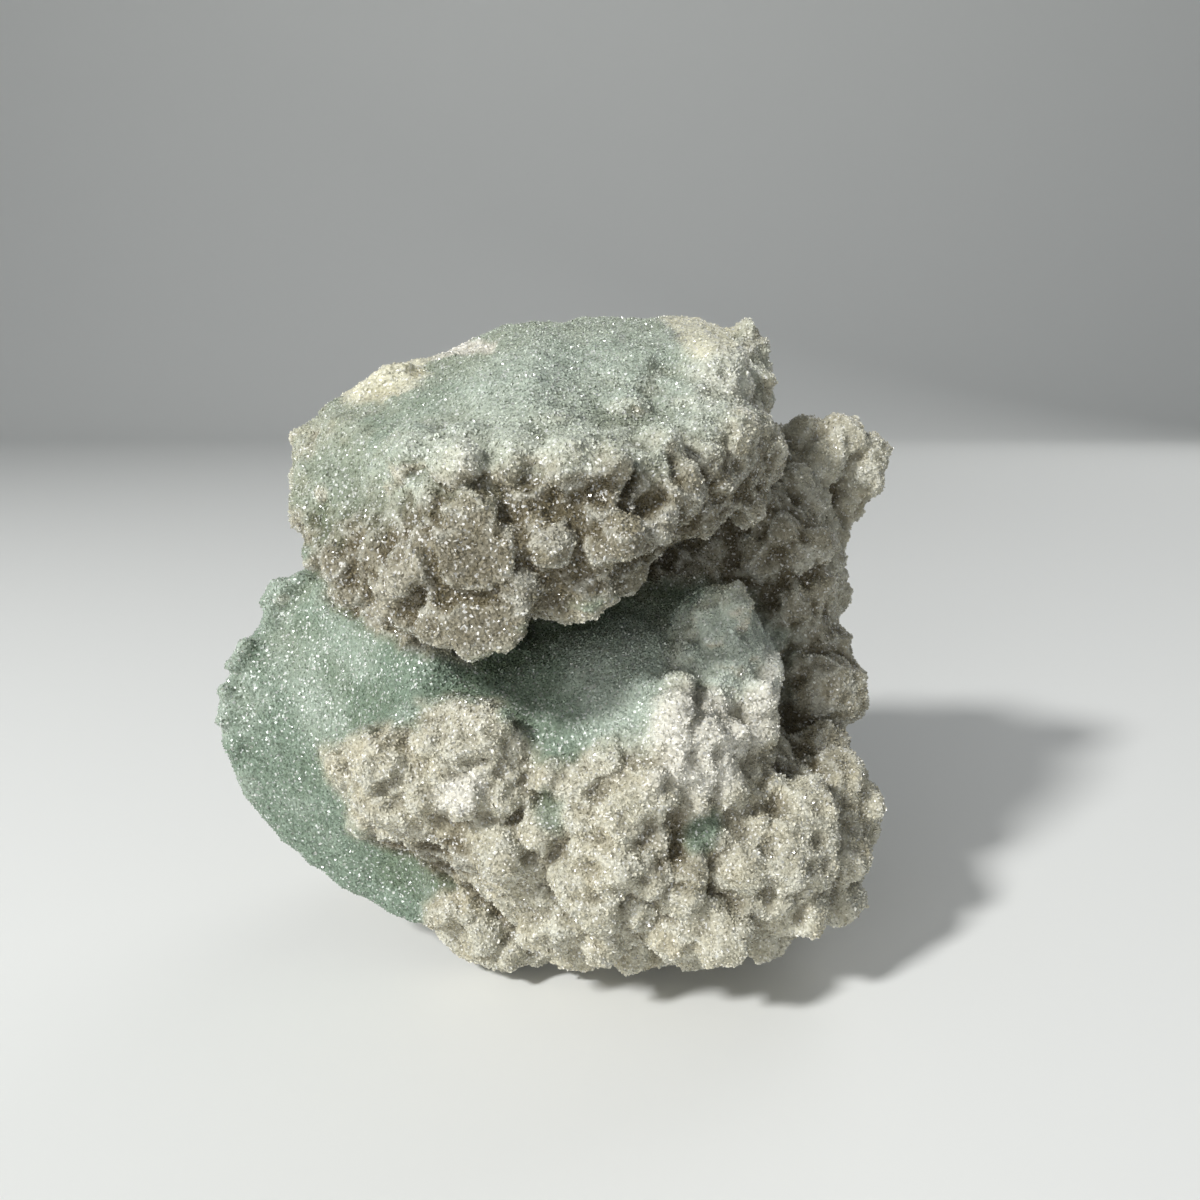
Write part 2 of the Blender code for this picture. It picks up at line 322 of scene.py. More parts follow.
# Lumps of the crust that stand out in the picture: x, y and radius in pixels.
lumps = {
    "sunk": 0.3,  # share of its radius that a lump's middle lies below the surface
    "flat": 1.0,  # its height as a share of its radius
    "lip": [
        (472, 625, 30), (486, 646, 18), (523, 594, 24), (343, 563, 20), (318, 548, 19), (311, 502, 24),
        (308, 472, 17), (305, 446, 12), (331, 594, 22), (369, 538, 22), (437, 540, 16), (455, 462, 20),
        (560, 590, 16), (655, 526, 17), (645, 471, 17), (536, 520, 14), (330, 480, 14), (350, 500, 16),
        (400, 480, 18), (430, 500, 14), (500, 470, 18), (560, 450, 16), (660, 440, 18), (300, 520, 12),
        (629, 570, 16), (679, 482, 26), (690, 502, 18), (715, 471, 17), (717, 480, 15), (749, 505, 20),
        (715, 375, 40), (744, 333, 13), (762, 380, 13), (610, 470, 22), (565, 470, 22), (700, 430, 26),
        (385, 565, 16), (350, 590, 14), (450, 600, 20), (505, 545, 18), (545, 545, 20), (725, 425, 20),
        (420, 452, 28, 13, 15), (480, 432, 26, 12, 10), (560, 418, 30, 13, 5), (620, 405, 24, 13, 20),
        (680, 402, 26, 14, 0), (640, 360, 22, 10, 0), (375, 470, 20, 12, 30), (520, 450, 22, 13, 0),
    ],
    "scales": [  # longer ones that overlap like shingles: x, y, half length, half width and slope in degrees
        (398, 584, 30, 13, 47), (400, 727, 24, 13, 35), (450, 738, 26, 13, 15), (484, 735, 22, 12, 70),
        (440, 768, 24, 12, -10), (478, 748, 26, 13, -40), (452, 706, 24, 11, 15), (500, 772, 22, 12, 60), (700, 840, 26, 14, 30), (640, 870, 28, 14, -15), (780, 835, 26, 14, 45),
        (592, 514, 24, 13, 40), (608, 546, 38, 15, 30), (476, 562, 37, 25, 4), (474, 512, 26, 20, 12),
        (412, 618, 34, 17, -8), (588, 602, 34, 16, 12), (524, 502, 17, 15, 0), (668, 500, 24, 15, 55),
        (700, 460, 26, 16, 60), (630, 500, 22, 13, 45), (740, 430, 26, 16, 65), (385, 545, 24, 16, 35),
        (545, 470, 26, 15, 25), (350, 535, 22, 15, 20), (415, 575, 20, 12, 60), (700, 522, 20, 14, 30),
    ],
    # these two are as far from the camera as the crust at their last two numbers
    "dishRim": [
        (278, 588, 13, 11, 0, 292, 600), (267, 602, 10, 8, 0, 285, 610), (268, 620, 9, 8, 0, 284, 622),
        (298, 578, 11, 8, 0, 304, 592), (243, 646, 10, 8, 60, 262, 655), (231, 664, 9, 7, 60, 248, 672),
        (223, 690, 8, 7, 0, 240, 695), (221, 722, 8, 6, 0, 238, 722), (230, 752, 7, 6, 0, 244, 750),
    ],
    "hanging": [  # lobes below the lip
        (472, 634, 30, 26, 80, 472, 596), (441, 626, 22, 20, 10, 432, 596), (503, 628, 22, 18, 100, 500, 592),
        (478, 650, 16, 13, 0, 472, 596),
    ],
    "knob": [
        (806, 430, 18), (845, 435, 22), (871, 450, 20), (868, 476, 18), (842, 508, 14), (840, 536, 11),
        (825, 460, 16), (850, 490, 14), (830, 560, 12),
    ],
    "side": [
        (759, 560, 20), (796, 601, 19), (819, 586, 15), (819, 544, 17), (780, 531, 14), (840, 697, 32),
        (822, 690, 34), (835, 700, 18), (805, 671, 22), (812, 635, 18), (835, 645, 15), (795, 480, 16),
        (778, 575, 15), (812, 505, 14), (800, 560, 13), (790, 630, 13), (855, 680, 13),
    ],
    "rim": [
        (741, 604, 16), (768, 628, 15), (776, 641, 12), (768, 671, 16), (760, 692, 19), (728, 668, 20),
        (702, 617, 15), (718, 640, 16), (690, 660, 14), (742, 650, 14), (700, 738, 28), (728, 738, 20),
        (690, 772, 22), (722, 768, 20), (738, 688, 20), (712, 700, 20), (676, 690, 16), (700, 800, 18),
    ],
    "cluster": [
        (340, 760, 15), (380, 763, 27), (359, 747, 16), (420, 718, 17), (471, 712, 17), (497, 720, 15),
        (452, 754, 17), (506, 748, 14), (503, 795, 19), (401, 787, 19), (372, 800, 21), (364, 821, 15),
        (417, 829, 16), (449, 829, 18), (465, 851, 16), (430, 745, 18), (480, 775, 16), (505, 770, 14),
        (440, 770, 16), (395, 815, 14), (480, 830, 15),
    ],
    "foot": [
        (497, 853, 22), (540, 829, 22), (548, 776, 18), (575, 808, 20), (607, 760, 15), (540, 888, 30),
        (577, 883, 24), (465, 907, 26), (441, 909, 17), (484, 931, 20), (513, 955, 12), (551, 961, 14),
        (537, 933, 15), (601, 945, 20), (636, 957, 15), (615, 872, 22), (615, 829, 22), (827, 740, 22),
        (773, 751, 20), (840, 772, 25), (873, 804, 13), (803, 807, 33), (824, 836, 18), (853, 857, 20),
        (749, 825, 18), (741, 863, 25), (787, 868, 22), (819, 868, 20), (840, 905, 22), (813, 919, 15),
        (773, 905, 21), (765, 944, 18), (728, 932, 23), (675, 932, 25), (629, 908, 23), (680, 893, 20),
        (627, 800, 24), (655, 842, 15), (690, 868, 18), (590, 850, 20), (650, 880, 18), (562, 920, 18),
        (600, 915, 18), (700, 915, 20), (745, 895, 18), (800, 850, 16), (770, 790, 18), (730, 790, 16),
        (655, 800, 16), (580, 780, 16), (595, 820, 15), (715, 955, 14), (685, 960, 12),
    ],
}


# A rounded lump of three sizes: its length lies along the given direction, its height looks outward
def addLump(bm, place, outward, along, sizes):
    across = outward.cross(along).normalized()
    turn = Matrix((across.cross(outward), across, outward)).transposed().to_4x4()
    matrix = Matrix.Translation(place) @ turn @ Matrix.Diagonal((*sizes, 1))
    bmesh.ops.create_icosphere(bm, subdivisions=3, radius=1, matrix=matrix)


# The named lumps, each where its pixel's ray meets the solid
def placedLumps(bm, tree):
    missed = 0
    for group in ("lip", "scales", "dishRim", "hanging", "knob", "side", "rim", "cluster", "foot"):
        for x, y, length, *rest in lumps[group]:
            width, slope = rest[:2] or (length, 0)
            ray = pixelRay(x, y)
            place, outward, _, distance = tree.ray_cast(eye, pixelRay(*(rest[2:] or (x, y))))
            if place is None:
                missed += 1
                continue
            place = eye + ray * distance
            length, width = (1.05 * radius / focal * distance for radius in (length, width))
            outward = (outward - ray * 0.6).normalized()
            along = rightward * math.cos(math.radians(slope)) + upward * math.sin(math.radians(slope))
            place = place - outward * width * lumps["sunk"]
            addLump(bm, place, outward, along, (length, width, width * lumps["flat"]))
    print("lumps placed, off the solid:", missed)


# Broken plates that stand out of the crust, most of them on the rim beside the hollow: outlines
# in pixels, and how far in millimetres each face stands out and leans to the right and upwards
plates = {
    "thickness": 2.6 * mm,
    "all": [
        {"outline": [(656, 700), (676, 694), (690, 702), (688, 742), (682, 776), (655, 774)],
         "stands": 2.2, "leans": (0.15, 0.0)},
        {"outline": [(690, 712), (712, 722), (740, 716), (752, 726), (738, 738), (704, 736)],
         "stands": 2.4, "leans": (0.1, 0.45)},
        {"outline": [(700, 750), (722, 741), (735, 755), (716, 772), (702, 766)], "stands": 2.2, "leans": (0.3, 0.3)},
        {"outline": [(632, 769), (655, 762), (664, 771), (643, 782)], "stands": 1.8, "leans": (-0.2, 0.45)},
        {"outline": [(750, 660), (770, 653), (780, 668), (768, 680), (752, 674)], "stands": 1.6, "leans": (0.3, 0.2)},
        {"outline": [(444, 789), (461, 779), (475, 786), (473, 800), (456, 810), (444, 802)],
         "stands": 2.7, "leans": (-0.3, 0.4)},
        {"outline": [(329, 751), (342, 749), (344, 764), (332, 766)], "stands": 1.8, "leans": (-0.2, 0.4)},
        {"outline": [(355, 397), (354, 385), (361, 373), (386, 362), (414, 356), (407, 372), (400, 394)],
         "at": (396, 384), "stands": 0.8, "leans": (-0.1, 0.3)},
    ],
}


def addPlate(bm, tree, plate):
    corners = plate["outline"]
    middle = [sum(corner[i] for corner in corners) / len(corners) for i in (0, 1)]
    ray = pixelRay(*plate.get("at", middle))
    place, _, _, _ = tree.ray_cast(eye, ray)
    right, up = plate["leans"]
    facing = (-ray + rightward * right + upward * up).normalized()
    place = place - ray * plate["stands"] * mm
    front = []
    for x, y in corners:
        toCorner = pixelRay(x, y)
        front.append(bm.verts.new(eye + toCorner * ((place - eye).dot(facing) / toCorner.dot(facing))))
    wall = bmesh.ops.extrude_face_region(bm, geom=[bm.faces.new(front)])
    for vert in (part for part in wall["geom"] if isinstance(part, bmesh.types.BMVert)):
        vert.co += (vert.co - place) * 0.12 - facing * plates["thickness"]


def placedPlates(bm, tree):
    new = bmesh.new()
    for plate in plates["all"]:
        addPlate(new, tree, plate)
    bmesh.ops.recalc_face_normals(new, faces=new.faces)
    mesh = meshFrom(new, "plates")
    bm.from_mesh(mesh)
    bpy.data.meshes.remove(mesh)


crust = {
    "coarse": 1.1 * mm,  # grid that evens out the solid's facets
    "evenSteps": 10,
    "lobes": 6.5 * mm,  # width of the round lobes that the ground itself swells into
    "lobeHeight": 1.6 * mm,
    "drawnIn": 0.5 * mm,  # how far the ground between the lumps lies in
    "fine": 0.6 * mm,  # grid on which the lumps fuse
    "triangles": 188000,
    "knobbles": {"Pitch": 3.3 * mm, "Smallest": 1.3 * mm, "Largest": 2.9 * mm, "Sunk": -0.7, "Seed": 3},
    "insideBox": 0.75 * mm,  # room for the crystals inside the solid's box
    "restHeight": 0.9 * mm,  # below this nothing is added, so the foot stays flat
}


# Geometry Nodes: small knobbles over the lumpy part of the crust
def scatterTree():
    tree = bpy.data.node_groups.new("knobble scatter", "GeometryNodeTree")
    for name, kind in (("Geometry", "Geometry"), ("Pitch", "Float"), ("Smallest", "Float"), ("Largest", "Float"),
                       ("Sunk", "Float"), ("Seed", "Int"), ("Material", "Material")):
        tree.interface.new_socket(name, in_out="INPUT", socket_type="NodeSocket" + kind)
    tree.interface.new_socket("Geometry", in_out="OUTPUT", socket_type="NodeSocketGeometry")
    given = addNode(tree, "NodeGroupInput").outputs
    lumpy = addNode(tree, "GeometryNodeInputNamedAttribute", {"Name": "lumpy"}, data_type="FLOAT")
    points = addNode(
        tree, "GeometryNodeDistributePointsOnFaces",
        {"Mesh": given["Geometry"], "Distance Min": given["Pitch"], "Density Max": 4e5,
         "Density Factor": lumpy.outputs[0], "Seed": given["Seed"]},
        distribute_method="POISSON",
    )
    ball = addNode(tree, "GeometryNodeMeshIcoSphere", {"Radius": 1.0, "Subdivisions": 3})
    drop = addNode(tree, "ShaderNodeCombineXYZ", {2: given["Sunk"]})
    ball = addNode(tree, "GeometryNodeTransform", {"Geometry": ball.outputs["Mesh"], "Translation": drop.outputs[0]})
    size = addNode(
        tree, "FunctionNodeRandomValue", {0: (0, 0, 0), 1: (1, 1, 1), "Seed": given["Seed"]}, data_type="FLOAT_VECTOR"
    )
    smallest = addNode(tree, "ShaderNodeCombineXYZ", {0: given["Smallest"], 1: given["Smallest"], 2: given["Smallest"]})
    largest = addNode(tree, "ShaderNodeCombineXYZ", {0: given["Largest"], 1: given["Largest"], 2: given["Largest"]})
    scale = addNode(
        tree, "ShaderNodeMix", {1: size.outputs[0], 4: smallest.outputs[0], 5: largest.outputs[0]},
        data_type="VECTOR", factor_mode="NON_UNIFORM",
    )
    placed = addNode(
        tree, "GeometryNodeInstanceOnPoints",
        {"Points": points.outputs["Points"], "Instance": ball.outputs["Geometry"],
         "Rotation": points.outputs["Rotation"], "Scale": scale.outputs[1]},
    )
    both = addNode(tree, "GeometryNodeJoinGeometry")
    tree.links.new(given["Geometry"], both.inputs[0])
    tree.links.new(placed.outputs[0], both.inputs[0])
    real = addNode(tree, "GeometryNodeRealizeInstances", {"Geometry": both.outputs[0]})
    dressed = addNode(tree, "GeometryNodeSetMaterial", {"Geometry": real.outputs[0], "Material": given["Material"]})
    addNode(tree, "NodeGroupOutput", {"Geometry": dressed.outputs[0]})
    return tree


# Runs a Geometry Nodes tree on the object with these named inputs
def grow(obj, tree, values):
    nodes = obj.modifiers.new("grow", "NODES")
    nodes.node_group = tree
    for socket in tree.interface.items_tree:
        if socket.in_out == "INPUT" and socket.name in values:
            nodes[socket.identifier] = values[socket.name]
    return baked(obj)


# The kind of crust at each vertex: green, cream and pearl from 0 to 1
def kindsAt(mesh):
    points = readVectors(mesh)
    outward = readVectors(mesh, "normal")
    green = patchAt("green", points, 1)
    cream = patchAt("cream", points, 5)
    pearl = patchAt("pearl", points, 9)
    # the top runs on green behind the picture's edge of it, and the back is broken matrix
    x, y, z = points.T / mm
    top = ramp(outward[:, 2], 0.45, 0.8) * ramp(z, 74, 82) * ramp(-y, -30, -18) * ramp(-x, -22, -12)
    green = np.maximum(green, 0.7 * top)
    patchy = noiseAt(points, 11 * mm, 21) + 0.5 * noiseAt(points, 4 * mm, 22)
    back = ramp(y, 16, 26) * ramp(outward[:, 1], 0.25, 0.65) * ramp(patchy, -0.25, 0.1) * ramp(z, 4, 10)
    back *= ramp(-x, -40, -32)
    cream = np.maximum(cream, back)
    green *= 1 - ramp(-outward[:, 2], 0.05, 0.35) * ramp(z, 50, 55)  # the shelf's underside is beige
    green = green * (1 - cream) * (1 - pearl)
    return green, cream, pearl


# The specimen's body: the CAD solid evened out, with its lumps and knobbles fused on
def buildCrust():
    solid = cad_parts["heulandite_specimen"]
    bm = bmesh.new()
    bm.from_mesh(solid.data)
    bmesh.ops.remove_doubles(bm, verts=bm.verts, dist=1e-6)
    bmesh.ops.recalc_face_normals(bm, faces=bm.faces)
    tree = BVHTree.FromBMesh(bm)
    ground = newObject("heulandite_crust", meshFrom(bm, "ground"))
    remeshed(ground, crust["coarse"])
    points = readVectors(ground.data)
    green, _, _ = kindsAt(ground.data)
    x, y, z = points.T
    hold = np.clip(ramp(green, 0.3, 0.8) * 0.8 + (z < 1.5 * mm) + ramp(-x, 30 * mm, 38 * mm), 0, 1)
    even = smoothed(ground.data, points, crust["evenSteps"], hold)
    writeVectors(ground.data, even)
    outward = readVectors(ground.data, "normal")
    lumpy = (1 - ramp(green, 0.3, 0.8)) * ramp(z, 1.5 * mm, 5 * mm)
    domes = 0.45 - cellsAt(even + noiseAt(even, 9 * mm, 41)[:, None] * mm, crust["lobes"], 42) ** 2
    raised = domes * crust["lobeHeight"] - crust["drawnIn"]
    writeVectors(ground.data, even + outward * (raised * lumpy)[:, None])

    bm = bmesh.new()
    bm.from_mesh(ground.data)
    placedLumps(bm, tree)
    placedPlates(bm, tree)
    ground.data = meshFrom(bm, "ground")
    remeshed(ground, crust["fine"])
    green, cream, pearl = kindsAt(ground.data)
    points = readVectors(ground.data)
    z = points[:, 2]
    lumpy = (1 - ramp(green, 0.1, 0.5)) * (1 - cream) * (1 - pearl)
    lumpy = np.maximum(lumpy, 0.3 * patchAt("frost", points, 17)) * (z > 2.5 * mm)
    lumpy = np.maximum(lumpy, 0.45 * green * ramp(z, 68 * mm, 78 * mm))
    writeFloat(ground.data, "lumpy", lumpy)
    grow(ground, scatterTree(), {**crust["knobbles"], "Material": None})
    remeshed(ground, crust["fine"])
    thinned(ground, crust["triangles"])
    return ground


# Fine relief, the limits of the solid's box, and as attributes the kinds of crust and the painted shade, sheen and
# light
def roughen(obj):
    mesh = obj.data
    points = smoothed(mesh, readVectors(mesh), 2)
    writeVectors(mesh, points)
    outward = readVectors(mesh, "normal")
    ridges = 1 - 2 * np.abs(noiseAt(points, 3.4 * mm, 36))  # thin edges of crystals that lap over one another
    creases = 1 - 2 * np.abs(noiseAt(points, 1.6 * mm, 37))
    green, cream, pearl = kindsAt(mesh)
    grains = 0.55 - cellsAt(points, 1.5 * mm, 31)
    crumbs = noiseAt(points, 0.9 * mm, 33)
    waves = noiseAt(points, 3.2 * mm, 34)
    lumpy = (1 - green) * (1 - cream)
    high = (0.25 * grains + 0.1 * crumbs + 0.35 * waves + 0.75 * (ridges - 0.5) + 0.3 * (creases - 0.5)) * lumpy
    high += (0.3 * grains + 0.4 * waves) * green
    ledges = np.round(3 * noiseAt(points, 8 * mm, 35) + waves) / 3  # where the matrix broke off in steps
    high += cream * (0.9 * ledges + 0.2 * waves + 0.15 * crumbs)
    points += outward * (high * mm * (points[:, 2] > crust["restHeight"]))[:, None]

    low, top = (np.array(corner) for corner in cadBox)
    room = crust["insideBox"]
    points = np.clip(points, low + (room, room, 0), top - room)
    points[:, 2] = np.where(points[:, 2] < 0.35 * mm, 0, points[:, 2])
    writeVectors(mesh, points)

    outward = readVectors(mesh, "normal")
    around = smoothed(mesh, points, 10)
    wider = smoothed(mesh, around, 50)
    pit = ((around - points) * outward).sum(1) / (0.45 * mm)
    valley = ((wider - around) * outward).sum(1) / (1.6 * mm)
    # the painted-shade patches, which darken the crust as if in shadow
    paintedShade = patchAt("paintedShade", points, 13)
    # deep is painted shade: the crust is darker where it lies in pits and valleys, and over the painted-shade patches
    deep = 0.45 * ramp(pit, -0.1, 0.9) + 0.65 * ramp(valley, 0.0, 0.8)
    deep += paintedShade * (0.7 + 0.3 * ramp(pit + valley, -0.7, 0.4))
    writeFloat(mesh, "deep", np.clip(deep, 0, 1))
    # crest: the ridge tops, painted paler as a sheen, and also where the blades grow
    writeFloat(mesh, "crest", ramp(ridges, 0.7, 0.95) * ramp(-pit, -0.2, 0.4))
    writeFloat(mesh, "green", green)
    writeFloat(mesh, "cream", cream)
    writeFloat(mesh, "pearl", pearl)
    # frosting with painted light: the patches pale the shelf's top and lift the rim and hollow out of shade, left off
    # where the crust faces down
    frost = patchAt("frost", points, 17) * ramp(outward[:, 2], -0.4, 0.1)
    cloudy = 0.3 * ramp(noiseAt(points, 7 * mm, 51) + 0.4 * waves, 0.05, 0.45) * green
    frost = np.maximum(np.maximum(frost, cloudy), patchAt("dishFrost", points, 19))
    writeFloat(mesh, "frost", frost)
    writeFloat(mesh, "tone", np.full(len(points), 0.3))
    return points, outward, green, cream, pearl


# The crystals of the druse: sizes are of a whole crystal.
druse = {
    "Smallest": 0.24 * mm,
    "Largest": 0.52 * mm,
    "Tilt": 0.9,
    "Seed": 11,
}
# Each zone of the crust and the spacing of its crystals: the broken back has fewer of them
druseZones = {
    "shelf_top": 0.37 * mm,
    "shelf_lip": 0.37 * mm,
    "dish": 0.36 * mm,
    "front": 0.36 * mm,
    "right": 0.37 * mm,
    "back_left": 0.52 * mm,
    "back_right": 0.52 * mm,
}


# Larger blades that stand on the lumps' tops and edges
blades = {
    "Spacing": 1.25 * mm,
    "Smallest": 0.42 * mm,
    "Largest": 0.78 * mm,
    "Tilt": 0.7,
    "Seed": 29,
}


# Small plain crystals, one unit wide: a chisel, a leaning wedge, a point, and two coffin-shaped blades
def crystalShapes():
    shapes = {}
    chisel = [(-0.5, -0.36, -0.2), (0.5, -0.36, -0.2), (0.5, 0.36, -0.2), (-0.5, 0.36, -0.2),
              (-0.26, 0, 0.55), (0.26, 0, 0.55)]
    wedge = [(-0.5, -0.3, -0.2), (0.5, -0.3, -0.2), (0, 0.5, -0.2), (-0.3, -0.1, 0.6), (0.35, -0.05, 0.5)]
    point = [(-0.45, -0.4, -0.2), (0.4, -0.45, -0.2), (0.45, 0.4, -0.2), (-0.4, 0.45, -0.2), (0.08, 0.03, 0.5)]
    blade = [(side * wide, thick * front, high) for side in (-1, 1) for front in (-1, 1)
             for wide, thick, high in ((0.36, 0.13, -0.35), (0.5, 0.13, 0.15), (0.22, 0.09, 0.5))]
    leaning = [(x + 0.3 * z, y + 0.1 * z, z * 0.85) for x, y, z in blade]
    outlines = {"chisel": chisel, "wedge": wedge, "point": point, "blade": blade, "leaning blade": leaning}
    for name, corners in outlines.items():
        bm = bmesh.new()
        bmesh.ops.convex_hull(bm, input=[bm.verts.new(corner) for corner in corners])
        bmesh.ops.recalc_face_normals(bm, faces=bm.faces)
        shapes[name] = newObject("crystal " + name, meshFrom(bm, name))
    return shapes


# Geometry Nodes: crystals standing on the crust, in the zone asked for
def druseTree(shapes):
    tree = bpy.data.node_groups.new("heulandite druse", "GeometryNodeTree")
    for name, kind in (("Geometry", "Geometry"), ("Zone", "Int"), ("Spacing", "Float"), ("Smallest", "Float"),
                       ("Largest", "Float"), ("Tilt", "Float"), ("Seed", "Int"), ("Material", "Material")):
        tree.interface.new_socket(name, in_out="INPUT", socket_type="NodeSocket" + kind)
    tree.interface.new_socket("Geometry", in_out="OUTPUT", socket_type="NodeSocketGeometry")
    given = addNode(tree, "NodeGroupInput").outputs
    zone = addNode(tree, "GeometryNodeInputNamedAttribute", {"Name": "zone"}, data_type="INT")
    wanted = addNode(
        tree, "FunctionNodeCompare", {2: zone.outputs[0], 3: given["Zone"]}, data_type="INT", operation="EQUAL"
    )
    drusy = addNode(tree, "GeometryNodeInputNamedAttribute", {"Name": "drusy"}, data_type="FLOAT")
    points = addNode(
        tree, "GeometryNodeDistributePointsOnFaces",
        {"Mesh": given["Geometry"], "Selection": wanted.outputs[0], "Distance Min": given["Spacing"],
         "Density Max": 8e6, "Density Factor": drusy.outputs[0], "Seed": given["Seed"]},
        distribute_method="POISSON",
    )
    toned = addNode(
        tree, "GeometryNodeStoreNamedAttribute",
        {"Geometry": points.outputs["Points"], "Name": "tone",
         "Value": addNode(tree, "FunctionNodeRandomValue", {2: 0.0, 3: 1.0, "Seed": 5}).outputs[1]},
        data_type="FLOAT", domain="POINT",
    )
    kinds = addNode(tree, "GeometryNodeJoinGeometry")
    for shape in reversed(shapes):
        info = addNode(tree, "GeometryNodeObjectInfo", {"Object": shape, "As Instance": True})
        tree.links.new(info.outputs["Geometry"], kinds.inputs[0])
    lean = addNode(tree, "ShaderNodeMath", {0: given["Tilt"], 1: -1.0}, operation="MULTIPLY")
    leastTurn = addNode(tree, "ShaderNodeCombineXYZ", {0: lean.outputs[0], 1: lean.outputs[0], 2: -math.pi})
    mostTurn = addNode(tree, "ShaderNodeCombineXYZ", {0: given["Tilt"], 1: given["Tilt"], 2: math.pi})
    turn = addNode(
        tree, "FunctionNodeRandomValue", {0: leastTurn.outputs[0], 1: mostTurn.outputs[0], "Seed": 6},
        data_type="FLOAT_VECTOR",
    )
    turned = addNode(
        tree, "FunctionNodeRotateRotation",
        {0: points.outputs["Rotation"], 1: addNode(tree, "FunctionNodeEulerToRotation", {0: turn.outputs[0]}).outputs[0]},
        rotation_space="LOCAL",
    )
    size = addNode(
        tree, "FunctionNodeRandomValue", {2: given["Smallest"], 3: given["Largest"], "Seed": 7}
    )
    grain = addNode(tree, "GeometryNodeInputNamedAttribute", {"Name": "grain"}, data_type="FLOAT")
    scaled = addNode(tree, "ShaderNodeMath", {0: size.outputs[1], 1: grain.outputs[0]}, operation="MULTIPLY")
    which = addNode(tree, "FunctionNodeRandomValue", {4: 0, 5: len(shapes) - 1, "Seed": 8}, data_type="INT")
    placed = addNode(
        tree, "GeometryNodeInstanceOnPoints",
        {"Points": toned.outputs[0], "Instance": kinds.outputs[0], "Pick Instance": True,
         "Instance Index": which.outputs[2], "Rotation": turned.outputs[0], "Scale": scaled.outputs[0]},
    )
    real = addNode(tree, "GeometryNodeRealizeInstances", {"Geometry": placed.outputs[0]})
    dressed = addNode(tree, "GeometryNodeSetMaterial", {"Geometry": real.outputs[0], "Material": given["Material"]})
    addNode(tree, "NodeGroupOutput", {"Geometry": dressed.outputs[0]})
    return tree


# Druse of heulandite, grown as sugar-fine crystals: light goes a millimetre into it, so colour
# is soft and pale; the honey brown deep between the lumps is painted shade, the paler crests are
# a painted sheen, a few grains are painted glints, and single facets catch the light.
finish = {
    "beige": "#c0bca8",
    # the deep colours are painted shade, laid where the crust lies in pits and valleys
    "deepBeige": "#68604a",
    "honey": "#b6ac8e",  # patches of warmer crystals
    "green": "#7f907e",
    "deepGreen": "#6f7f69",
    "cream": "#d6d3bb",
    "deepCream": "#a39c78",
    "pearl": "#e0ddd0",
    "deepPearl": "#a39d86",
    # frosting, which also paints light on the shelf's top and on the shaded rim and hollow
    "frost": "#c2ccbe",
    "deepFrost": "#a3aa98",
    "edge": "#dfdfd3",  # painted sheen: lumps are painted paler along their crests and thin edges
    "edgeSheenShare": 0.4,
    # painted glints on a few grains and crystals
    "glint": "#fbfbf8",
    "grain": 0.27 * mm,  # the finest druse in the photograph is 0.2 to 0.4 mm
    "honeyPatch": 7 * mm,
    "depth": 1.1 * mm,  # how far light goes in
}
